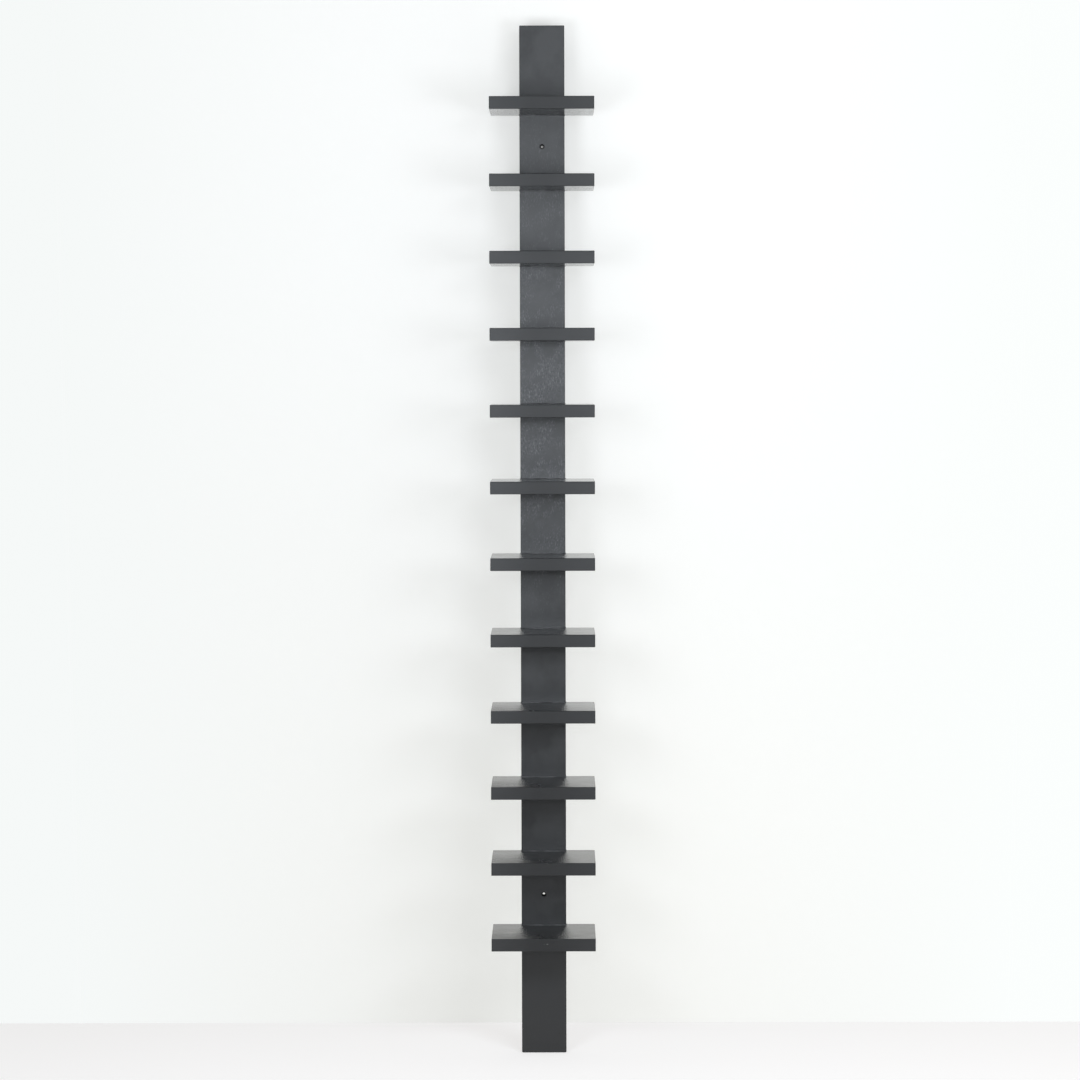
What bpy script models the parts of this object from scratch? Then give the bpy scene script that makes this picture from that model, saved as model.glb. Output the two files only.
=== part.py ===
"""Tall wall shelf: a narrow upright board crossed by twelve short cantilevered shelves.

Each shelf is notched at the back, so that its two wings pass the upright and run back to
the wall. The floor of the notch sits in a shallow housing across the upright's face, and
two countersunk wood screws, driven from behind through the upright, hold it there.

Metres, +Z up. The front faces -Y and the wall is the plane Y = 0. The origin is the middle
of the upright's back face.
"""

import math

import bmesh
import bpy
from mathutils import Matrix, Vector

# The upright
BOARD_HEIGHT = 2.100
BOARD_WIDTH = 0.0915
BOARD_THICKNESS = 0.018
BOARD_ARRIS = 0.001
FOOT_CORNER_RADIUS = 0.0025

# The shelves: depth is from the wings' back ends to the front edge
SHELF_COUNT = 12
SHELF_WIDTH = 0.209
SHELF_DEPTH = 0.189
SHELF_THICKNESS = 0.0254
SHELF_ARRIS = 0.001
TOP_MARGIN = 0.1555
FOOT_MARGIN = 0.2385
WING_SETBACK = 0.001
HOUSING_DEPTH = 0.006

# The wood screws that hold each shelf from behind
SCREW_LENGTH = 0.045
SCREW_RADIUS = 0.002
SCREW_POINT_LENGTH = 0.004
SCREW_HEAD_RADIUS = 0.004
SCREW_HEAD_RIM = 0.0004
SCREW_SPACING = 0.050
SCREW_SINK = 0.0008
RECESS_SPAN = 0.0044
RECESS_SLOT = 0.0012
RECESS_DEPTH = 0.0022
RECESS_FLOOR_SHARE = 0.45

# The two holes for the wall screws, counterbored so that the heads sit below the surface
WALL_HOLE_RADIUS = 0.00275
WALL_BORE_RADIUS = 0.005
WALL_BORE_DEPTH = 0.004

# Fits and cuts
FIT_GAP = 0.0003
CUT_OVERRUN = 0.002
MERGE_DISTANCE = 0.000001

# Facets
CORNER_SEGMENTS = 4
ARRIS_SEGMENTS = 2
SCREW_SIDES = 16
WALL_HOLE_SIDES = 24
ROUND_PROFILE = 0.5
SHARP_ANGLE = math.radians(40)

# Places worked out from the sizes
BOARD_TOP = BOARD_HEIGHT / 2
SHELF_PITCH = (BOARD_HEIGHT - TOP_MARGIN - FOOT_MARGIN - SHELF_THICKNESS) / (SHELF_COUNT - 1)
FIRST_SHELF_MIDDLE = BOARD_TOP - TOP_MARGIN - SHELF_THICKNESS / 2
HOUSING_FLOOR_Y = HOUSING_DEPTH - BOARD_THICKNESS
NOTCH_FLOOR_Y = HOUSING_FLOOR_Y - FIT_GAP
SCREW_HEAD_LENGTH = SCREW_HEAD_RIM + SCREW_HEAD_RADIUS - SCREW_RADIUS

# Colours and finishes: (red, green, blue), roughness, metallic
BOARD_FINISH = ((0.031, 0.032, 0.034), 0.42, 0.0)
SHELF_FINISH = ((0.030, 0.031, 0.032), 0.40, 0.0)
SCREW_FINISH = ((0.55, 0.56, 0.58), 0.35, 1.0)


def clear_scene():
    """Remove whatever the file opened with."""
    for obj in list(bpy.data.objects):
        bpy.data.objects.remove(obj, do_unlink=True)


def make_material(name, finish):
    """A Principled material from a colour, a roughness and a metallic value."""
    colour, roughness, metallic = finish
    material = bpy.data.materials.new(name)
    material.use_nodes = True
    shader = material.node_tree.nodes["Principled BSDF"]
    shader.inputs["Base Color"].default_value = (*colour, 1)
    shader.inputs["Roughness"].default_value = roughness
    shader.inputs["Metallic"].default_value = metallic
    material.diffuse_color = (*colour, 1)
    return material


def to_mesh(shape, name):
    """Turn a bmesh into a mesh whose faces point outwards, smooth but for its sharp edges."""
    bmesh.ops.recalc_face_normals(shape, faces=shape.faces)
    mesh = bpy.data.meshes.new(name)
    shape.to_mesh(mesh)
    shape.free()
    mesh.shade_smooth()
    mesh.set_sharp_from_angle(angle=SHARP_ANGLE)
    return mesh


def add_object(name, mesh, parent=None, location=(0, 0, 0), rotation=(0, 0, 0)):
    """Put a mesh in the scene under its name, placed below its parent."""
    obj = bpy.data.objects.new(name, mesh)
    bpy.context.collection.objects.link(obj)
    obj.parent = parent
    obj.location = location
    obj.rotation_euler = rotation
    return obj


def add_box(shape, centre, size):
    """Add a box to a bmesh."""
    place = Matrix.Translation(centre) @ Matrix.Diagonal((*size, 1))
    bmesh.ops.create_cube(shape, size=1, matrix=place)


def turn(shape, profile, sides, place):
    """Add a solid turned about Z from (radius, height) points, then move it to its place."""
    before = set(shape.verts)
    points = [shape.verts.new((radius, 0, height)) for radius, height in profile]
    edges = [shape.edges.new(pair) for pair in zip(points, points[1:])]
    bmesh.ops.spin(shape, geom=points + edges, axis=(0, 0, 1), angle=math.tau,
                   steps=sides, use_merge=True)
    turned = [vertex for vertex in shape.verts if vertex not in before]
    bmesh.ops.remove_doubles(shape, verts=turned, dist=MERGE_DISTANCE)
    turned = [vertex for vertex in shape.verts if vertex not in before]
    bmesh.ops.transform(shape, matrix=place, verts=turned)


def cut(obj, shape):
    """Cut a bmesh out of an object, and keep the result as the object's mesh."""
    cutter = add_object(obj.name + "_cutter", to_mesh(shape, obj.name + "_cutter"))
    modifier = obj.modifiers.new("cut", "BOOLEAN")
    modifier.operation = "DIFFERENCE"
    modifier.solver = "EXACT"
    modifier.object = cutter
    evaluated = obj.evaluated_get(bpy.context.evaluated_depsgraph_get())
    mesh = bpy.data.meshes.new_from_object(evaluated)
    mesh.name = obj.name
    obj.modifiers.clear()
    obj.data = mesh
    bpy.data.objects.remove(cutter, do_unlink=True)


def shelf_middles():
    """Heights of the shelves' middles, from the top one down."""
    return [FIRST_SHELF_MIDDLE - index * SHELF_PITCH for index in range(SHELF_COUNT)]


def screw_places(middle):
    """Where the heads of one shelf's two screws lie, facing the wall."""
    facing_wall = Matrix.Rotation(math.radians(-90), 4, "X")
    return {
        side: Matrix.Translation((sign * SCREW_SPACING / 2, -SCREW_SINK, middle)) @ facing_wall
        for side, sign in (("left", -1), ("right", 1))
    }


def screw_profile():
    """Outline of a countersunk wood screw: its head's top is at height zero."""
    return [
        (0, 0),
        (SCREW_HEAD_RADIUS, 0),
        (SCREW_HEAD_RADIUS, -SCREW_HEAD_RIM),
        (SCREW_RADIUS, -SCREW_HEAD_LENGTH),
        (SCREW_RADIUS, SCREW_POINT_LENGTH - SCREW_LENGTH),
        (0, -SCREW_LENGTH),
    ]


def screw_hole_profile():
    """Outline of the hole for that screw, open above the head and clear of it all round."""
    mouth = SCREW_SINK + CUT_OVERRUN
    head_radius = SCREW_HEAD_RADIUS + FIT_GAP
    hole_radius = SCREW_RADIUS + FIT_GAP
    return [
        (0, mouth),
        (head_radius, mouth),
        (head_radius, -SCREW_HEAD_RIM),
        (hole_radius, -SCREW_HEAD_LENGTH),
        (hole_radius, SCREW_POINT_LENGTH - SCREW_LENGTH),
        (0, -SCREW_LENGTH - FIT_GAP),
    ]


def wall_hole_profile():
    """Outline of a wall screw's hole: a bore for the head, a 45 degree seat and the way through.

    Height zero is the upright's front face.
    """
    seat_end = WALL_BORE_DEPTH + WALL_BORE_RADIUS - WALL_HOLE_RADIUS
    far_end = BOARD_THICKNESS + CUT_OVERRUN
    return [
        (0, CUT_OVERRUN),
        (WALL_BORE_RADIUS, CUT_OVERRUN),
        (WALL_BORE_RADIUS, -WALL_BORE_DEPTH),
        (WALL_HOLE_RADIUS, -seat_end),
        (WALL_HOLE_RADIUS, -far_end),
        (0, -far_end),
    ]


def board_blank():
    """The upright before it is cut: a plank with rounded foot corners and eased edges."""
    shape = bmesh.new()
    centre = (0, -BOARD_THICKNESS / 2, 0)
    add_box(shape, centre, (BOARD_WIDTH, BOARD_THICKNESS, BOARD_HEIGHT))
    foot_corners = [
        edge for edge in shape.edges
        if all(vertex.co.z < 0 for vertex in edge.verts)
        and edge.verts[0].co.x * edge.verts[1].co.x > 0
    ]
    bmesh.ops.bevel(shape, geom=foot_corners, offset=FOOT_CORNER_RADIUS,
                    segments=CORNER_SEGMENTS, profile=ROUND_PROFILE, affect="EDGES")
    sharp = [edge for edge in shape.edges if edge.calc_face_angle() > SHARP_ANGLE]
    bmesh.ops.bevel(shape, geom=sharp, offset=BOARD_ARRIS,
                    segments=ARRIS_SEGMENTS, profile=ROUND_PROFILE, affect="EDGES")
    return to_mesh(shape, "back_board")


def make_board(parent, material):
    """The upright, with a housing for each shelf, the shelves' screw holes and two wall holes."""
    board = add_object("back_board", board_blank(), parent)

    housings = bmesh.new()
    housing_front = -BOARD_THICKNESS - CUT_OVERRUN
    housing_size = (BOARD_WIDTH + 2 * CUT_OVERRUN, HOUSING_FLOOR_Y - housing_front,
                    SHELF_THICKNESS + 2 * FIT_GAP)
    for middle in shelf_middles():
        add_box(housings, (0, (HOUSING_FLOOR_Y + housing_front) / 2, middle), housing_size)
    cut(board, housings)

    screw_holes = bmesh.new()
    for middle in shelf_middles():
        for place in screw_places(middle).values():
            turn(screw_holes, screw_hole_profile(), SCREW_SIDES, place)
    cut(board, screw_holes)

    wall_holes = bmesh.new()
    facing_room = Matrix.Rotation(math.radians(90), 4, "X")
    first_bay = FIRST_SHELF_MIDDLE - SHELF_PITCH / 2
    last_bay = first_bay - (SHELF_COUNT - 2) * SHELF_PITCH
    for height in (first_bay, last_bay):
        place = Matrix.Translation((0, -BOARD_THICKNESS, height)) @ facing_room
        turn(wall_holes, wall_hole_profile(), WALL_HOLE_SIDES, place)
    cut(board, wall_holes)

    board.data.materials.append(material)
    return board


def shelf_blank():
    """A shelf before it is drilled: a slab notched at the back, with eased outer edges."""
    side = SHELF_WIDTH / 2
    cheek = BOARD_WIDTH / 2 + FIT_GAP
    back = -WING_SETBACK
    front = back - SHELF_DEPTH
    plan = [
        (-side, back),
        (-side, front),
        (side, front),
        (side, back),
        (cheek, back),
        (cheek, NOTCH_FLOOR_Y),
        (-cheek, NOTCH_FLOOR_Y),
        (-cheek, back),
    ]
    shape = bmesh.new()
    underside = shape.faces.new([shape.verts.new((x, y, -SHELF_THICKNESS / 2)) for x, y in plan])
    raised = bmesh.ops.extrude_face_region(shape, geom=[underside])["geom"]
    top = [item for item in raised if isinstance(item, bmesh.types.BMVert)]
    bmesh.ops.translate(shape, verts=top, vec=(0, 0, SHELF_THICKNESS))
    mid_wing = (side + cheek) / 2
    outer = [edge for edge in shape.edges if any(abs(end.co.x) > mid_wing for end in edge.verts)]
    bmesh.ops.bevel(shape, geom=outer, offset=SHELF_ARRIS,
                    segments=ARRIS_SEGMENTS, profile=ROUND_PROFILE, affect="EDGES")
    return to_mesh(shape, "shelf")


def make_shelves(parent, material):
    """The shelves: one drilled shape, placed at each height."""
    pattern = add_object("shelf", shelf_blank())
    holes = bmesh.new()
    for place in screw_places(0).values():
        turn(holes, screw_hole_profile(), SCREW_SIDES, place)
    cut(pattern, holes)
    shelf_mesh = pattern.data
    shelf_mesh.materials.append(material)
    bpy.data.objects.remove(pattern, do_unlink=True)
    for number, middle in enumerate(shelf_middles(), 1):
        add_object(f"shelf_{number:02d}", shelf_mesh, parent, (0, 0, middle))


def cross_recess():
    """The driver's cross in a screw head: a plus sign that narrows towards its floor."""
    arm = RECESS_SPAN / 2
    slot = RECESS_SLOT / 2
    quarter = [(arm, -slot), (arm, slot), (slot, slot)]
    outline = [
        Matrix.Rotation(turns * math.radians(90), 2) @ Vector(corner)
        for turns in range(4) for corner in quarter
    ]
    shape = bmesh.new()
    mouth = [shape.verts.new((*point, CUT_OVERRUN)) for point in outline]
    floor = [shape.verts.new((*(point * RECESS_FLOOR_SHARE), -RECESS_DEPTH)) for point in outline]
    shape.faces.new(mouth)
    shape.faces.new(floor)
    for index in range(len(mouth)):
        shape.faces.new((mouth[index - 1], mouth[index], floor[index], floor[index - 1]))
    return shape


def make_screws(parent, material):
    """Two screws to a shelf, their heads a little below the upright's back face."""
    blank = bmesh.new()
    turn(blank, screw_profile(), SCREW_SIDES, Matrix.Identity(4))
    pattern = add_object("screw", to_mesh(blank, "screw"))
    cut(pattern, cross_recess())
    screw_mesh = pattern.data
    screw_mesh.materials.append(material)
    bpy.data.objects.remove(pattern, do_unlink=True)
    for number, middle in enumerate(shelf_middles(), 1):
        for side, place in screw_places(middle).items():
            add_object(f"shelf_{number:02d}_screw_{side}", screw_mesh, parent,
                       place.to_translation(), place.to_euler())


def main():
    clear_scene()
    wall_shelf = bpy.data.objects.new("wall_shelf", None)
    bpy.context.collection.objects.link(wall_shelf)
    make_board(wall_shelf, make_material("upright_black_satin", BOARD_FINISH))
    make_shelves(wall_shelf, make_material("shelf_black_satin", SHELF_FINISH))
    make_screws(wall_shelf, make_material("screw_zinc", SCREW_FINISH))


main()
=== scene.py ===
"""Looks of the tall wall shelf: chipped, scuffed and rubbed satin black lacquer with painted
sheen, light and shade, soft studio light, one camera.

Metres, +Z up. The shelf's front faces -Y, and the origin is the middle of the upright's
back face.
"""

import math
from collections import namedtuple

import bmesh
import bpy
from mathutils import Matrix, Vector


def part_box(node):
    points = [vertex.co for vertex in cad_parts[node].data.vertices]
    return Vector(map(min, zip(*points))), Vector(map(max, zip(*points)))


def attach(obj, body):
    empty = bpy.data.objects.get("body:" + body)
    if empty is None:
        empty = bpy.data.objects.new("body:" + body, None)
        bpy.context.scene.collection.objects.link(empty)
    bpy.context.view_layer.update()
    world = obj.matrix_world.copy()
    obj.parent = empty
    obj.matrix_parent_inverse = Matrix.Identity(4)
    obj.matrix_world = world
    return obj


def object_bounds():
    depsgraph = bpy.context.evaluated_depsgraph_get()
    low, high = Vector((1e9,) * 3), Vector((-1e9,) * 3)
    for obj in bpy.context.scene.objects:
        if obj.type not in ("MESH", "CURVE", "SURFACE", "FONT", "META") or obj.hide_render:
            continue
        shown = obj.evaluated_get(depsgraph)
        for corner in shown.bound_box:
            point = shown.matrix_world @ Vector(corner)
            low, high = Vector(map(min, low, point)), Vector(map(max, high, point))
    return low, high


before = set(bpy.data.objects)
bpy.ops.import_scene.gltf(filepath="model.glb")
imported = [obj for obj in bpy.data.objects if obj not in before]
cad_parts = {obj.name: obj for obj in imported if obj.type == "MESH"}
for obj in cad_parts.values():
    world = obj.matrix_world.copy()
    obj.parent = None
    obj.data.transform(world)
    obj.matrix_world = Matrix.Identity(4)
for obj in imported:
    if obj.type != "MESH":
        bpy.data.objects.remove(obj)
cad_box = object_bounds()

# The shelf's own sizes, read from the frame
FOOT_HEIGHT = cad_box[0].z
TOP_HEIGHT = cad_box[1].z
UPRIGHT_LOW, UPRIGHT_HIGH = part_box("back_board")
SHELF_NAMES = sorted(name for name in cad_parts
                     if name.startswith("shelf_") and "screw" not in name)
SHELF_LOW, SHELF_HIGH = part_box(SHELF_NAMES[0])
LAST_SHELF_LOW, LAST_SHELF_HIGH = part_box(SHELF_NAMES[-1])
WING_BACK = SHELF_HIGH.y
TOP_SHELF_HEIGHT = (SHELF_LOW.z + SHELF_HIGH.z) / 2
LAST_SHELF_HEIGHT = (LAST_SHELF_LOW.z + LAST_SHELF_HIGH.z) / 2
SHELF_PITCH = (TOP_SHELF_HEIGHT - LAST_SHELF_HEIGHT) / (len(SHELF_NAMES) - 1)

# The photograph's camera, from a fit of its edges to the shelf's real size
CAMERA_PLACE = Vector((0.030, -7.061, 0.3546))
CAMERA_LENS = 115.12
SENSOR_WIDTH = 36.0
CAMERA_CLIP_END = 100
CAMERA_DOWN = math.radians(2.836)
CAMERA_LEFT = math.radians(0.294)
CAMERA_ROLL = math.radians(-0.150)

# The floor, brighter near the wall than in front
FLOOR_HALF_WIDTH = 6.0
FLOOR_FRONT = -9.0
FLOOR_BACK = 0.31
FLOOR_COLOUR = (0.80, 0.80, 0.80, 1)
FLOOR_GLOW = (1.0, 0.978, 0.958, 1)
FLOOR_GLOW_AHEAD = 0.26
FLOOR_GLOW_NEAR = 0.55
FLOOR_GLOW_TURN = (-1.6, -0.32)
FLOOR_SIDES = (-1.0, 1.0)
FLOOR_GLOW_TO_RIGHT = 0.05

# The pale wall behind the shelf: it takes soft shadows near the shelf and is even beyond
WALL_GAP_AT_TOP = 0.058
WALL_RISE = 2.0
WALL_HALF_WIDTH = 6.0
WALL_EVEN_ACROSS = (0.30, 1.00)
WALL_EVEN_UP = (0.05, 0.40)
WALL_MATT = (0.480, 0.468, 0.462, 1)
WALL_SIDES = (-1.0, 1.0)
WALL_LEFT = (0.920, 0.945, 0.938, 1)
WALL_RIGHT = (0.970, 0.995, 0.986, 1)

# The wall's glow: its colour low and high, and its strength by height and to the right
WALL_GLOW_BELOW = (0.95, 0.958, 0.91, 1)
WALL_GLOW_ABOVE = (0.945, 0.965, 0.945, 1)
WALL_GLOW_BLEND = (-0.6, 0.6)
WALL_GLOW_LEAST = 0.604
WALL_GLOW_RISE = 0.02
WALL_GLOW_TURN = (-0.15, 0.15)
WALL_GLOW_TO_RIGHT = 0.055

# The soft shade of the upright on the wall, and the deeper shade right behind it
WALL_SHADE = 0.43
WALL_SHADE_END = (-0.06, 0.03)
WALL_BEHIND = (0.046, 0.030)
WALL_BEHIND_RISE = (-0.6, 0.8)
WALL_BEHIND_SHADE = 0.50

# The room, as the camera, a reflection and a matt surface see it
ROOM_COLOUR = (0.93, 0.95, 0.945, 1)
WALL_MIRRORED = (0.97, 0.955, 0.93, 1)
STUDIO_MIRRORED = (0.06, 0.063, 0.068, 1)
AMBIENT_COLOUR = (0.25, 0.25, 0.25, 1)
WALL_TURN = 0.15

# The lamps: place, aim, width and height, power
LAMP_COLOUR = (0.94, 1.0, 1.07)
LAMPS = {
    "left_softbox": ((-0.80, -2.45, 0.40), (0, 0, 0.40), (0.6, 0.6), 15.0),
    "right_softbox": ((1.25, -2.45, 0.40), (0, 0, 0.40), (0.7, 0.6), 17.8),
    "high_softbox": ((1.0, -4.0, 1.30), (0, 0, 1.30), (0.8, 0.6), 18.5),
    "low_window": ((0.0, -7.5, 0.24), (0, 0, 0.24), (1.2, 0.4), 20.0),
    "middle_window": ((0.0, -7.5, 0.80), (0, 0, 0.80), (1.2, 0.4), 31.8),
}

# A place on a surface: the whole vector, and its parts along X, Y and Z
Spot = namedtuple("Spot", "place across depth height")

# What the finishes below share: colours, roughnesses and reliefs in metres, and noises
# as their cells per metre along X, Y and Z, detail, roughness and turn
LACQUER_IOR = 1.5
CLOUD_RANGE = (0.3, 0.7)


def new_material(name):
    """A node material with no nodes yet."""
    material = bpy.data.materials.new(name)
    material.use_nodes = True
    material.node_tree.nodes.clear()
    return material


class Nodes:
    """Short hand for making and wiring nodes."""

    def __init__(self, tree):
        self.tree = tree

    def add(self, kind, inputs=None, **settings):
        """A new node with its settings, its inputs wired or filled in."""
        node = self.tree.nodes.new(kind)
        for name, value in settings.items():
            setattr(node, name, value)
        for name, value in (inputs or {}).items():
            self.put(value, node.inputs[name])
        return node

    def put(self, value, socket):
        """Wire a node's result to a socket, or write a plain value there."""
        if isinstance(value, bpy.types.NodeSocket):
            self.tree.links.new(value, socket)
        else:
            socket.default_value = value

    def math(self, operation, first, second=0.0):
        """One step of arithmetic; returns its result."""
        return self.add("ShaderNodeMath", {0: first, 1: second}, operation=operation).outputs[0]

    def times(self, *factors):
        """The product of several numbers."""
        product = factors[0]
        for factor in factors[1:]:
            product = self.math("MULTIPLY", product, factor)
        return product

    def ramp(self, value, low, high, to_low=0.0, to_high=1.0):
        """value carried from low..high to to_low..to_high, held at both ends."""
        node = self.add("ShaderNodeMapRange",
                        {"Value": value, "From Min": low, "From Max": high,
                         "To Min": to_low, "To Max": to_high})
        return node.outputs["Result"]

    def noise(self, place, cells, detail, roughness=0.5, turn=0.0):
        """Noise with its own cells per metre along X, Y and Z, turned about Y."""
        mapped = self.add("ShaderNodeMapping",
                          {"Vector": place, "Scale": tuple(1.0 / count for count in cells),
                           "Rotation": (0.0, turn, 0.0)},
                          vector_type="TEXTURE")
        node = self.add("ShaderNodeTexNoise",
                        {"Vector": mapped.outputs["Vector"], "Scale": 1.0, "Detail": detail,
                         "Roughness": roughness})
        return node.outputs["Fac"]

    def blend(self, factor, first, second):
        """A mix of two numbers."""
        node = self.add("ShaderNodeMix", {"Factor": factor}, data_type="FLOAT")
        self.put(first, node.inputs["A"])
        self.put(second, node.inputs["B"])
        return node.outputs["Result"]

    def colour(self, factor, first, second):
        """A mix of two colours."""
        node = self.add("ShaderNodeMix", {"Factor": factor}, data_type="RGBA")
        sockets = [socket for socket in node.inputs if socket.type == "RGBA"]
        for socket, value in zip(sockets, (first, second)):
            self.put(value, socket)
        return [socket for socket in node.outputs if socket.type == "RGBA"][0]

    def spot(self):
        """Where the surface is."""
        place = self.add("ShaderNodeTexCoord").outputs["Object"]
        parts = self.add("ShaderNodeSeparateXYZ", {"Vector": place})
        return Spot(place, *(parts.outputs[axis] for axis in "XYZ"))

    def ellipse(self, place, centre, reach, turn=0.0, soft=0.5):
        """1 inside an ellipse seen from the front, falling to 0 at its rim."""
        mapped = self.add("ShaderNodeMapping",
                          {"Vector": place, "Location": (centre[0], 0.0, centre[1]),
                           "Rotation": (0.0, turn, 0.0), "Scale": (reach[0], 1.0, reach[1])},
                          vector_type="TEXTURE")
        flat = self.add("ShaderNodeVectorMath",
                        {0: mapped.outputs["Vector"], 1: (1.0, 0.0, 1.0)},
                        operation="MULTIPLY")
        away = self.add("ShaderNodeVectorMath", {0: flat.outputs["Vector"]},
                        operation="LENGTH").outputs["Value"]
        return self.ramp(away, 1.0 - soft, 1.0, 1.0, 0.0)

    def lacquer(self, colour, rough, relief):
        """A lacquered surface from a colour, a roughness and a relief in metres."""
        bump = self.add("ShaderNodeBump", {"Height": relief, "Strength": 1.0, "Distance": 1.0})
        shader = self.add("ShaderNodeBsdfPrincipled",
                          {"Base Color": colour, "Roughness": rough,
                           "Normal": bump.outputs["Normal"], "IOR": LACQUER_IOR})
        self.finish(shader.outputs["BSDF"])

    def finish(self, shader):
        """Send a shader to the material's output."""
        output = self.add("ShaderNodeOutputMaterial")
        self.put(shader, output.inputs["Surface"])


# The upright's finish: black with painted light in the middle of the bays, so that it stays
# darker next to the shelves as painted shade
UPRIGHT_BLACK = (0.0220, 0.0224, 0.0229, 1)
UPRIGHT_MID_BAY_PAINTED_LIGHT = (0.0430, 0.0437, 0.0446, 1)
UPRIGHT_ROUGH = (0.35, 0.39)
UPRIGHT_RELIEF = 0.00003
UPRIGHT_CLOUDS = ((16, 16, 12), 3.0)
CLOUD_REACH = (0.40, 0.58)
BAY_PAINTED_LIGHT_RAMP = (0.10, 0.42)
BAY_MIDDLE = 0.5
LAST_SHELF_BAY = 1 - len(SHELF_NAMES)

# The upright's upper part, where the sheen falls: pale haze and pale flecks as painted sheen,
# and dark open pores of the grain
GRAIN = ((430, 430, 190), 2.0, 0.6)
SHEEN_PATCHES = ((34, 34, 24), 3.0, 0.6, math.radians(35))
SHEEN_REACH = (0.40, 0.60)
SHEEN_HAZE_RANGE = (0.15, 1.0)
SHEEN_HAZE_COLOUR = (0.054, 0.055, 0.057, 1)
SHEEN_BAND_LOW = (-0.17, 0.13)
SHEEN_BAND_HIGH = (0.92, 0.36)
PORE_REACH = (0.44, 0.32)
PORE_COLOUR = (0.010, 0.010, 0.010, 1)
FLECK_REACH = (0.56, 0.68)
GLINT_FLECK_COLOUR = (0.150, 0.153, 0.157, 1)

# Painted shade just above each shelf, in parts of a bay, and the heights it fades over
SHADE_ABOVE_SHELF_COLOUR = (0.012, 0.012, 0.0125, 1)
SHADE_ABOVE_SHELF_REACH = (0.20, 0.02)
SHADE_ABOVE_SHELF_HEIGHT = (-0.25, 0.45)

# The two holes for wall screws, in the middle of the first and the last bay
HOLE_HEIGHTS = (TOP_SHELF_HEIGHT - SHELF_PITCH / 2, LAST_SHELF_HEIGHT + SHELF_PITCH / 2)
HOLE_REACH = (0.0054, 0.0054)
HOLE_SOFT = 0.1
HOLE_MOUTH = 0.0004
# The bores' near-black colour is painted shade inside them
HOLE_PAINTED_SHADE = (0.0020, 0.0020, 0.0022, 1)
HOLE_ROUGH = 0.90

# The scuff beside the upper hole: centre, reach, turn and softness
SCUFF = ((-0.0048, 0.7964), (0.0022, 0.0065), math.radians(20), 0.8)
SCUFF_COLOUR = (0.060, 0.061, 0.063, 1)


def mid_bay_painted_light(nodes, bays, clouds):
    """How much painted light the black gets: cloudy, away from the shelves, not below the last
    one; next to the shelves it stays dark as painted shade.
    """
    from_shelf = nodes.math("PINGPONG", bays, BAY_MIDDLE)
    above_all = nodes.ramp(bays, BAY_PAINTED_LIGHT_RAMP[1], BAY_MIDDLE, 0.0, BAY_MIDDLE)
    from_shelf = nodes.math("MAXIMUM", from_shelf, above_all)
    above_last = nodes.ramp(bays, LAST_SHELF_BAY, LAST_SHELF_BAY + BAY_PAINTED_LIGHT_RAMP[0])
    return nodes.times(nodes.ramp(from_shelf, *BAY_PAINTED_LIGHT_RAMP), nodes.ramp(clouds, *CLOUD_REACH),
                       above_last)


def sheen_and_pores(nodes, spot, grain, base):
    """Painted sheen over the upright's upper part, where the highlight falls: pale haze and pale
    flecks, with dark open pores of the grain.
    """
    sheen_band = nodes.times(nodes.ramp(spot.height, *SHEEN_BAND_LOW),
                       nodes.ramp(spot.height, *SHEEN_BAND_HIGH))
    cloudy = nodes.noise(spot.place, *SHEEN_PATCHES)
    haze = nodes.times(nodes.ramp(cloudy, *SHEEN_REACH, *SHEEN_HAZE_RANGE), sheen_band)
    patches = nodes.times(nodes.ramp(cloudy, *SHEEN_REACH), sheen_band)
    pores = nodes.times(nodes.ramp(grain, *PORE_REACH), patches)
    flecks = nodes.times(nodes.ramp(grain, *FLECK_REACH), patches)
    # Painted sheen: the pale haze and the pale flecks; the dark pores are the grain
    base = nodes.colour(haze, base, SHEEN_HAZE_COLOUR)
    base = nodes.colour(pores, base, PORE_COLOUR)
    return nodes.colour(flecks, base, GLINT_FLECK_COLOUR)


def painted_shade_above_shelf(nodes, spot, bays):
    """Where shade is painted: just above each shelf, more so higher up."""
    part_of_bay = nodes.math("FRACT", nodes.math("ADD", bays, len(SHELF_NAMES)))
    part_of_bay = nodes.math("MAXIMUM", part_of_bay, nodes.ramp(bays, BAY_MIDDLE, 1.0))
    return nodes.times(nodes.ramp(part_of_bay, *SHADE_ABOVE_SHELF_REACH),
                       nodes.ramp(spot.height, *SHADE_ABOVE_SHELF_HEIGHT))


def bore_insides(nodes, spot):
    """1 inside the two holes for wall screws, behind their mouths."""
    inside = nodes.ramp(spot.depth, UPRIGHT_LOW.y, UPRIGHT_LOW.y + HOLE_MOUTH)
    bores = [nodes.ellipse(spot.place, (0.0, level), HOLE_REACH, soft=HOLE_SOFT)
             for level in HOLE_HEIGHTS]
    return nodes.times(nodes.math("MAXIMUM", *bores), inside)


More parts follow.
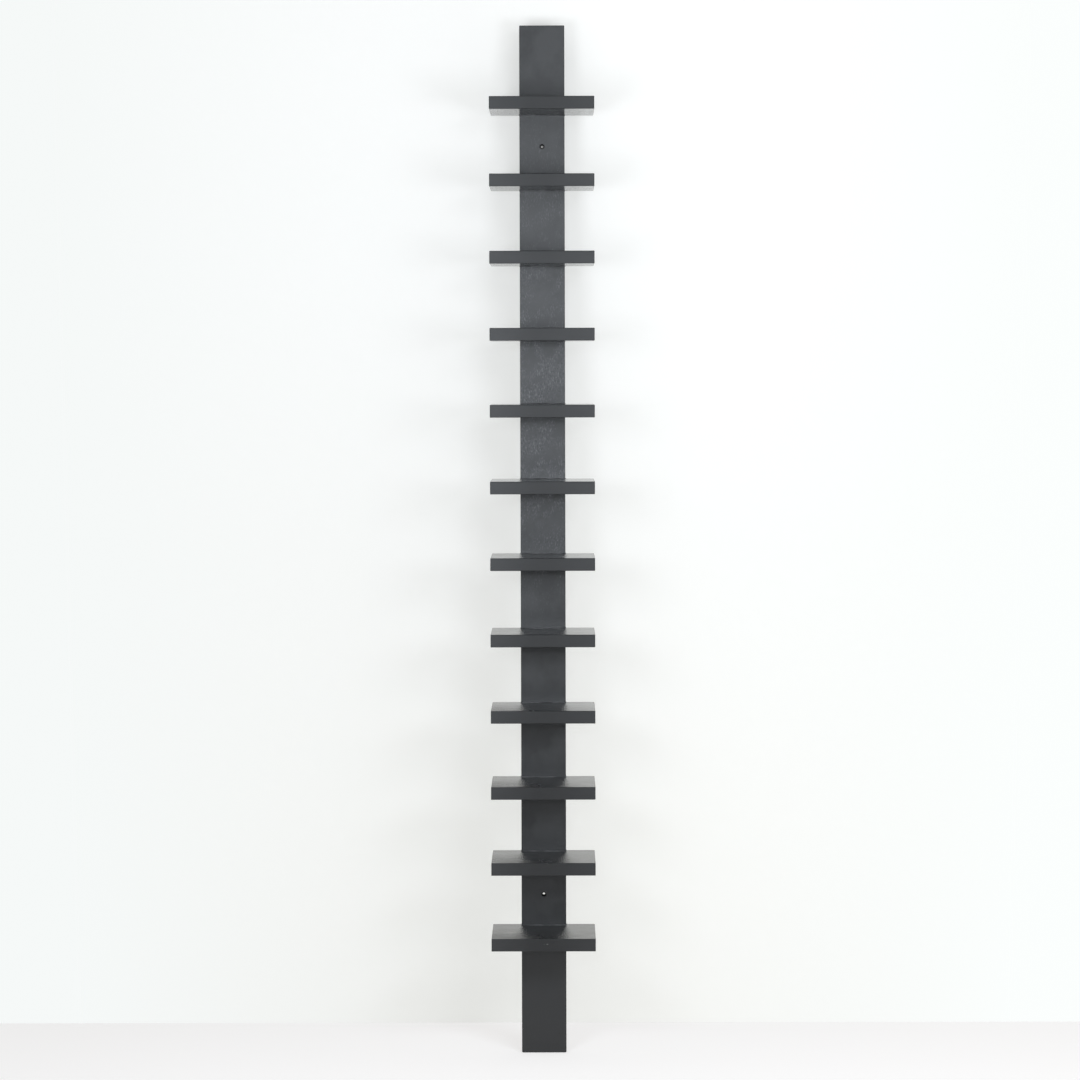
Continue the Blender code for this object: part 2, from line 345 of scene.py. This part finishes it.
def upright_finish():
    """Satin black over open grain: small pale flecks and haze as painted sheen, cloudy patches,
    painted light mid-bay, and painted shade above the shelves and in the dark bores.
    """
    material = new_material("upright_black_satin")
    nodes = Nodes(material.node_tree)
    spot = nodes.spot()
    above_shelf = nodes.math("SUBTRACT", spot.height, TOP_SHELF_HEIGHT)
    bays = nodes.math("DIVIDE", above_shelf, SHELF_PITCH)
    clouds = nodes.noise(spot.place, *UPRIGHT_CLOUDS)
    grain = nodes.noise(spot.place, *GRAIN)
    bore = bore_insides(nodes, spot)
    # Painted light in the middle of each bay, leaving painted shade next to the shelves
    base = nodes.colour(mid_bay_painted_light(nodes, bays, clouds), UPRIGHT_BLACK, UPRIGHT_MID_BAY_PAINTED_LIGHT)
    # Painted sheen where the highlight falls, with the grain's dark pores
    base = sheen_and_pores(nodes, spot, grain, base)
    # Painted shade just above each shelf
    base = nodes.colour(painted_shade_above_shelf(nodes, spot, bays), base, SHADE_ABOVE_SHELF_COLOUR)
    base = nodes.colour(nodes.ellipse(spot.place, *SCUFF), base, SCUFF_COLOUR)
    # Painted shade: the bores are coloured near black
    base = nodes.colour(bore, base, HOLE_PAINTED_SHADE)
    rough = nodes.blend(bore, nodes.ramp(clouds, *CLOUD_RANGE, *UPRIGHT_ROUGH), HOLE_ROUGH)
    nodes.lacquer(base, rough, nodes.math("MULTIPLY", grain, UPRIGHT_RELIEF))
    return material


# The shelves' black: cloudy, paler on the flat faces as painted light, and paler towards both
# ends
SHELF_BLACK = (0.0088, 0.0089, 0.0091, 1)
SHELF_CLOUDED = (0.0112, 0.0114, 0.0116, 1)
SHELF_CLOUDS = ((30, 30, 60), 4.0, 0.55)
SHELF_CLOUD_REACH = (0.35, 0.65)
SHELF_FLAT_PAINTED_LIGHT = (0.0150, 0.0152, 0.0154, 1)
LEFT_END_COLOUR = (0.0310, 0.0315, 0.0322, 1)
RIGHT_END_COLOUR = (0.0225, 0.0229, 0.0233, 1)
END_FADE = (0.018, 0.104)

# How far a face must turn up or down to count as flat, and down to count as an underside
FLAT_TURN = (0.5, 0.9)
UNDER_TURN = (0.0, -0.5)

# The shelves' sheen: brushed flat faces, smoother on the upper shelves, plain fronts
SHELF_TOP_ROUGH = (0.15, 0.19)
SHELF_UNDER_ROUGH = (0.11, 0.13)
SHELF_FRONT_ROUGH = (0.43, 0.47)
POLISH_HEIGHT = (-0.05, 0.12)
POLISH = -0.045
BRUSH = ((8000, 6, 6), 1.0)
BRUSH_RELIEF_ABOVE = 0.0002
BRUSH_RELIEF_BELOW = 0.00006
SHELF_GRAIN = ((12, 300, 420), 4.0, 0.6)
SHELF_GRAIN_RELIEF = 0.00001

# The rubbed front of the lower tops, less so at the right
RUBBED_PATCHES = ((14, 14, 5), 2.0)
RUBBED_REACH = (0.20, 0.42)
RUBBED_DEPTH = (-0.05, -0.175)
RUBBED_HEIGHT = (-0.20, -0.36)
RUBBED_ACROSS = (0.09, -0.05)
RUBBED_AT_RIGHT = 0.3
RUBBED_ROUGH = 0.145

# Two chips on the lowest shelf's front: centre, reach and colour
CHIPS = (((0.0014, -0.7970), (0.0022, 0.0007), (0.045, 0.045, 0.046, 1)),
         ((0.0074, -0.7968), (0.0024, 0.0009), (0.160, 0.158, 0.155, 1)))


def shelf_black(nodes, spot, clouds, flat):
    """The shelves' black, with the flat faces painted paler as painted light, paler ends and the
    two chips.
    """
    base = nodes.colour(nodes.ramp(clouds, *SHELF_CLOUD_REACH), SHELF_BLACK, SHELF_CLOUDED)
    # The tops and undersides are painted paler than the fronts, as painted light
    base = nodes.colour(flat, base, SHELF_FLAT_PAINTED_LIGHT)
    to_left = nodes.ramp(spot.across, -END_FADE[0], -END_FADE[1])
    base = nodes.colour(to_left, base, LEFT_END_COLOUR)
    base = nodes.colour(nodes.ramp(spot.across, *END_FADE), base, RIGHT_END_COLOUR)
    for centre, reach, paint in CHIPS:
        base = nodes.colour(nodes.ellipse(spot.place, centre, reach), base, paint)
    return base


def top_roughness(nodes, spot, clouds):
    """The roughness of the tops: rubbed in front on the lower shelves, smooth on the upper."""
    rubbed = nodes.times(nodes.ramp(spot.depth, *RUBBED_DEPTH),
                         nodes.ramp(spot.height, *RUBBED_HEIGHT),
                         nodes.ramp(spot.across, *RUBBED_ACROSS, RUBBED_AT_RIGHT, 1.0),
                         nodes.ramp(nodes.noise(spot.place, *RUBBED_PATCHES), *RUBBED_REACH))
    rough = nodes.math("ADD", nodes.ramp(clouds, *CLOUD_RANGE, *SHELF_TOP_ROUGH),
                       nodes.times(rubbed, RUBBED_ROUGH))
    return nodes.math("ADD", rough, nodes.ramp(spot.height, *POLISH_HEIGHT, 0.0, POLISH))


def shelf_finish():
    """Satin black on the shelves: brushed front to back on the flat faces, plain in front."""
    material = new_material("shelf_black_satin")
    nodes = Nodes(material.node_tree)
    spot = nodes.spot()
    facing = nodes.add("ShaderNodeNewGeometry").outputs["True Normal"]
    upward = nodes.add("ShaderNodeSeparateXYZ", {"Vector": facing}).outputs["Z"]
    flat = nodes.ramp(nodes.math("ABSOLUTE", upward), *FLAT_TURN)
    under = nodes.ramp(upward, *UNDER_TURN)
    clouds = nodes.noise(spot.place, *SHELF_CLOUDS)
    base = shelf_black(nodes, spot, clouds, flat)
    under_rough = nodes.ramp(clouds, *CLOUD_RANGE, *SHELF_UNDER_ROUGH)
    front_rough = nodes.ramp(clouds, *CLOUD_RANGE, *SHELF_FRONT_ROUGH)
    flat_rough = nodes.blend(under, top_roughness(nodes, spot, clouds), under_rough)
    rough = nodes.blend(flat, front_rough, flat_rough)
    depth = nodes.blend(under, BRUSH_RELIEF_ABOVE, BRUSH_RELIEF_BELOW)
    brushed = nodes.times(nodes.noise(spot.place, *BRUSH), flat, depth)
    grain = nodes.times(nodes.noise(spot.place, *SHELF_GRAIN), SHELF_GRAIN_RELIEF)
    nodes.lacquer(base, rough, nodes.math("ADD", brushed, grain))
    return material


# The beads' finish: dark lacquer painted pale in patches as a highlight along the corner, more
# in some places than others
BEAD_DARK = (0.030, 0.030, 0.031, 1)
BEAD_PAINTED_HIGHLIGHT = (0.140, 0.140, 0.142, 1)
BEAD_PATCHES = ((38, 38, 9), 3.0)
BEAD_HIGHLIGHT_REACH = (0.35, 0.62)
BEAD_ROUGH = 0.42


def bead_finish():
    """Lacquer in the corners, painted pale in patches as a highlight."""
    material = new_material("bead_black_satin")
    nodes = Nodes(material.node_tree)
    bead_patches = nodes.noise(nodes.spot().place, *BEAD_PATCHES)
    # The pale patches are a painted highlight along the joint
    base = nodes.colour(nodes.ramp(bead_patches, *BEAD_HIGHLIGHT_REACH), BEAD_DARK, BEAD_PAINTED_HIGHLIGHT)
    nodes.lacquer(base, BEAD_ROUGH, nodes.math("MULTIPLY", bead_patches, UPRIGHT_RELIEF))
    return material


# The screws' finish
ZINC_COLOUR = (0.56, 0.57, 0.58, 1)
ZINC_CLOUDS = ((900, 900, 900), 3.0)
ZINC_ROUGH = (0.28, 0.45)


def zinc_finish():
    """Bright zinc plating with a fine spread of roughness."""
    material = new_material("screw_zinc")
    nodes = Nodes(material.node_tree)
    clouds = nodes.noise(nodes.spot().place, *ZINC_CLOUDS)
    shader = nodes.add("ShaderNodeBsdfPrincipled",
                       {"Base Color": ZINC_COLOUR, "Metallic": 1.0,
                        "Roughness": nodes.ramp(clouds, *CLOUD_RANGE, *ZINC_ROUGH)})
    nodes.finish(shader.outputs["BSDF"])
    return material


def dress(obj, material):
    """Give an object its finished material."""
    obj.data.materials.clear()
    obj.data.materials.append(material)


def make_world():
    """A pale wall behind the shelf and a dimmer studio in front of it."""
    world = bpy.data.worlds.new("room")
    bpy.context.scene.world = world
    world.use_nodes = True
    world.node_tree.nodes.clear()
    nodes = Nodes(world.node_tree)
    path = nodes.add("ShaderNodeLightPath")
    towards = nodes.add("ShaderNodeTexCoord").outputs["Generated"]
    backward = nodes.add("ShaderNodeSeparateXYZ", {"Vector": towards}).outputs["Y"]
    wall_side = nodes.ramp(backward, -WALL_TURN, WALL_TURN)
    mirrored = nodes.colour(wall_side, STUDIO_MIRRORED, WALL_MIRRORED)
    colour = nodes.colour(path.outputs["Is Glossy Ray"], AMBIENT_COLOUR, mirrored)
    plain = nodes.math("MAXIMUM", path.outputs["Is Camera Ray"],
                       path.outputs["Is Transmission Ray"])
    colour = nodes.colour(plain, colour, ROOM_COLOUR)
    back = nodes.add("ShaderNodeBackground", {"Color": colour, "Strength": 1.0})
    output = nodes.add("ShaderNodeOutputWorld")
    nodes.put(back.outputs["Background"], output.inputs["Surface"])


def stage_mesh(name, corners):
    """A flat four-cornered piece of the stage, linked to the scene."""
    mesh = bpy.data.meshes.new(name)
    mesh.from_pydata(corners, [], [(0, 1, 2, 3)])
    piece = bpy.data.objects.new(name, mesh)
    bpy.context.scene.collection.objects.link(piece)
    return piece


def stage_light(nodes, matt_colour, glow_colour, glow_strength):
    """A matt surface that also glows for the camera and for reflections, not onto the shelf."""
    path = nodes.add("ShaderNodeLightPath")
    seen = nodes.math("MAXIMUM", path.outputs["Is Camera Ray"], path.outputs["Is Glossy Ray"])
    seen = nodes.math("MAXIMUM", seen, path.outputs["Is Transmission Ray"])
    matt = nodes.add("ShaderNodeBsdfDiffuse", {"Color": matt_colour})
    glow = nodes.add("ShaderNodeEmission",
                     {"Color": glow_colour, "Strength": nodes.times(seen, glow_strength)})
    both = nodes.add("ShaderNodeAddShader",
                     {0: matt.outputs["BSDF"], 1: glow.outputs["Emission"]})
    return both.outputs["Shader"]


def make_floor():
    """A plain pale floor under the foot that ends where the photograph's wall begins."""
    side = FLOOR_HALF_WIDTH
    floor = stage_mesh("floor", [(-side, FLOOR_FRONT, FOOT_HEIGHT),
                                 (side, FLOOR_FRONT, FOOT_HEIGHT),
                                 (side, FLOOR_BACK, FOOT_HEIGHT),
                                 (-side, FLOOR_BACK, FOOT_HEIGHT)])
    material = new_material("floor")
    nodes = Nodes(material.node_tree)
    spot = nodes.spot()
    strength = nodes.ramp(spot.depth, *FLOOR_GLOW_TURN, FLOOR_GLOW_AHEAD, FLOOR_GLOW_NEAR)
    to_right = nodes.ramp(spot.across, *FLOOR_SIDES, 0.0, FLOOR_GLOW_TO_RIGHT)
    strength = nodes.math("ADD", strength, to_right)
    nodes.finish(stage_light(nodes, FLOOR_COLOUR, FLOOR_GLOW, strength))
    dress(floor, material)


def hidden_light(nodes, across, gap):
    """The share of even light that the upright, a gap away, keeps off the wall."""
    reach = []
    for edge in (UPRIGHT_HIGH.x, UPRIGHT_LOW.x):
        aside = nodes.math("ADD", across, edge)
        slant = nodes.math("ADD", nodes.times(aside, aside), nodes.times(gap, gap))
        reach.append(nodes.math("DIVIDE", aside, nodes.math("SQRT", slant)))
    return nodes.math("DIVIDE", nodes.math("SUBTRACT", *reach), 2.0)


def wall_shade(nodes, spot):
    """The share of the wall's glow that is lost beside the upright and right behind it."""
    gap = nodes.ramp(spot.height, FOOT_HEIGHT, TOP_HEIGHT, FLOOR_BACK, WALL_GAP_AT_TOP)
    soft = nodes.times(hidden_light(nodes, spot.across, gap), WALL_SHADE)
    behind = nodes.times(nodes.ramp(nodes.math("ABSOLUTE", spot.across), *WALL_BEHIND),
                         nodes.ramp(spot.height, *WALL_BEHIND_RISE, 0.0, WALL_BEHIND_SHADE))
    below_top = nodes.ramp(spot.height, TOP_HEIGHT + WALL_SHADE_END[0],
                           TOP_HEIGHT + WALL_SHADE_END[1], 1.0, 0.0)
    return nodes.times(nodes.math("ADD", soft, behind), below_top)


def wall_glow(nodes, spot):
    """The strength of the wall's glow: more away from mid height and to the right."""
    rise = nodes.times(nodes.math("ABSOLUTE", spot.height), WALL_GLOW_RISE)
    to_right = nodes.ramp(spot.across, *WALL_GLOW_TURN, 0.0, WALL_GLOW_TO_RIGHT)
    strength = nodes.math("ADD", nodes.math("ADD", rise, WALL_GLOW_LEAST), to_right)
    return nodes.times(strength, nodes.math("SUBTRACT", 1.0, wall_shade(nodes, spot)))


def make_wall():
    """The pale wall behind the shelf; it is clear when seen from behind."""
    lean = (WALL_GAP_AT_TOP - FLOOR_BACK) / (TOP_HEIGHT - FOOT_HEIGHT)
    crest = TOP_HEIGHT + WALL_RISE
    crest_depth = FLOOR_BACK + lean * (crest - FOOT_HEIGHT)
    side = WALL_HALF_WIDTH
    wall = stage_mesh("wall", [(-side, FLOOR_BACK, FOOT_HEIGHT), (side, FLOOR_BACK, FOOT_HEIGHT),
                               (side, crest_depth, crest), (-side, crest_depth, crest)])
    material = new_material("wall")
    nodes = Nodes(material.node_tree)
    spot = nodes.spot()
    near = nodes.times(
        nodes.ramp(nodes.math("ABSOLUTE", spot.across), *WALL_EVEN_ACROSS, 1.0, 0.0),
        nodes.ramp(spot.height, TOP_HEIGHT + WALL_EVEN_UP[0], TOP_HEIGHT + WALL_EVEN_UP[1],
                   1.0, 0.0))
    tint = nodes.ramp(spot.height, *WALL_GLOW_BLEND)
    glow = nodes.colour(tint, WALL_GLOW_BELOW, WALL_GLOW_ABOVE)
    lit = stage_light(nodes, WALL_MATT, glow, wall_glow(nodes, spot))
    far = nodes.colour(nodes.ramp(spot.across, *WALL_SIDES), WALL_LEFT, WALL_RIGHT)
    even = nodes.add("ShaderNodeEmission", {"Color": far, "Strength": 1.0})
    front = nodes.add("ShaderNodeMixShader", {0: near, 1: even.outputs["Emission"], 2: lit})
    clear = nodes.add("ShaderNodeBsdfTransparent")
    back = nodes.add("ShaderNodeNewGeometry").outputs["Backfacing"]
    sides = nodes.add("ShaderNodeMixShader",
                      {0: back, 1: front.outputs["Shader"], 2: clear.outputs["BSDF"]})
    nodes.finish(sides.outputs["Shader"])
    dress(wall, material)
    wall.visible_diffuse = False
    wall.visible_shadow = False


def make_lamps():
    """The soft lamps in front of the shelf, hidden from the camera."""
    for name, (place, aim, size, power) in LAMPS.items():
        data = bpy.data.lights.new(name, "AREA")
        data.shape = "RECTANGLE"
        data.size, data.size_y = size
        data.energy = power
        data.color = LAMP_COLOUR
        lamp = bpy.data.objects.new(name, data)
        bpy.context.scene.collection.objects.link(lamp)
        lamp.location = place
        towards = Vector(aim) - Vector(place)
        lamp.rotation_euler = towards.to_track_quat("-Z", "Y").to_euler()
        lamp.visible_camera = False


def make_camera():
    """The photograph's camera, with no shift."""
    data = bpy.data.cameras.new("camera")
    data.sensor_width = SENSOR_WIDTH
    data.lens = CAMERA_LENS
    data.clip_end = CAMERA_CLIP_END
    camera = bpy.data.objects.new("camera", data)
    bpy.context.scene.collection.objects.link(camera)
    turn = Matrix.Rotation(CAMERA_LEFT, 4, "Z")
    tilt = Matrix.Rotation(math.radians(90) - CAMERA_DOWN, 4, "X")
    roll = Matrix.Rotation(CAMERA_ROLL, 4, "Z")
    camera.matrix_world = Matrix.Translation(CAMERA_PLACE) @ turn @ tilt @ roll
    bpy.context.scene.camera = camera


# The bead of lacquer in the corner between each shelf and the upright
BEAD_RADIUS = 0.0011
BEAD_SINK = 0.0004
BEAD_ARRIS = 0.001
BEAD_STEPS = 5
BEAD_WING_SETBACK = 0.001
BEAD_SHARP_ANGLE = math.radians(40)


def quarter_turn():
    """The angles of a quarter turn, from 0 to 90 degrees."""
    return [math.radians(90) * step / BEAD_STEPS for step in range(BEAD_STEPS + 1)]


def bead_path():
    """Places and outward directions round the upright's front, from wing back to wing back."""
    half = UPRIGHT_HIGH.x
    front = UPRIGHT_LOW.y
    back = WING_BACK - BEAD_WING_SETBACK
    stations = [(Vector((half, back)), Vector((1, 0)))]
    for side in (1, -1):
        centre = Vector((side * (half - BEAD_ARRIS), front + BEAD_ARRIS))
        for angle in quarter_turn()[::side]:
            outward = Vector((side * math.cos(angle), -math.sin(angle)))
            stations.append((centre + outward * BEAD_ARRIS, outward))
    stations.append((Vector((-half, back)), Vector((-1, 0))))
    return stations


def bead_profile():
    """Distances out from the upright and away from the shelf round the bead's section."""
    points = [(-BEAD_SINK, -BEAD_SINK), (BEAD_RADIUS, -BEAD_SINK)]
    points += [(BEAD_RADIUS * math.cos(angle), BEAD_RADIUS * math.sin(angle))
               for angle in quarter_turn()]
    points.append((-BEAD_SINK, BEAD_RADIUS))
    return points


def bead_mesh(name, level, upward):
    """The bead's closed mesh, its section carried along the corner."""
    mesh = bmesh.new()
    rings = []
    for place, outward in bead_path():
        ring = []
        for out, rise in bead_profile():
            point = place + outward * out
            ring.append(mesh.verts.new((point.x, point.y, level + upward * rise)))
        rings.append(ring)
    for ring, following in zip(rings, rings[1:]):
        for index in range(len(ring)):
            after = (index + 1) % len(ring)
            mesh.faces.new((ring[index], ring[after], following[after], following[index]))
    mesh.faces.new(rings[0])
    mesh.faces.new(list(reversed(rings[-1])))
    bmesh.ops.recalc_face_normals(mesh, faces=mesh.faces)
    data = bpy.data.meshes.new(name)
    mesh.to_mesh(data)
    mesh.free()
    data.shade_smooth()
    data.set_sharp_from_angle(angle=BEAD_SHARP_ANGLE)
    return data


def make_bead(name, level, upward, material):
    """One round-faced bead along the corner at a height, above (1) or below (-1) a shelf."""
    bead = bpy.data.objects.new(name, bead_mesh(name, level, upward))
    bpy.context.scene.collection.objects.link(bead)
    dress(bead, material)
    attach(bead, "root")


def dress_all():
    """Finish every CAD node and run the beads of lacquer."""
    upright = upright_finish()
    shelf = shelf_finish()
    screw = zinc_finish()
    bead = bead_finish()
    for name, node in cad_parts.items():
        if "screw" in name:
            dress(node, screw)
        elif name == "back_board":
            dress(node, upright)
        else:
            dress(node, shelf)
    for name in SHELF_NAMES:
        low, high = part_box(name)
        make_bead(name + "_top_bead", high.z, 1, bead)
        make_bead(name + "_bottom_bead", low.z, -1, bead)


bpy.context.scene.view_settings.view_transform = "Standard"
make_world()
make_floor()
make_wall()
make_lamps()
make_camera()
dress_all()
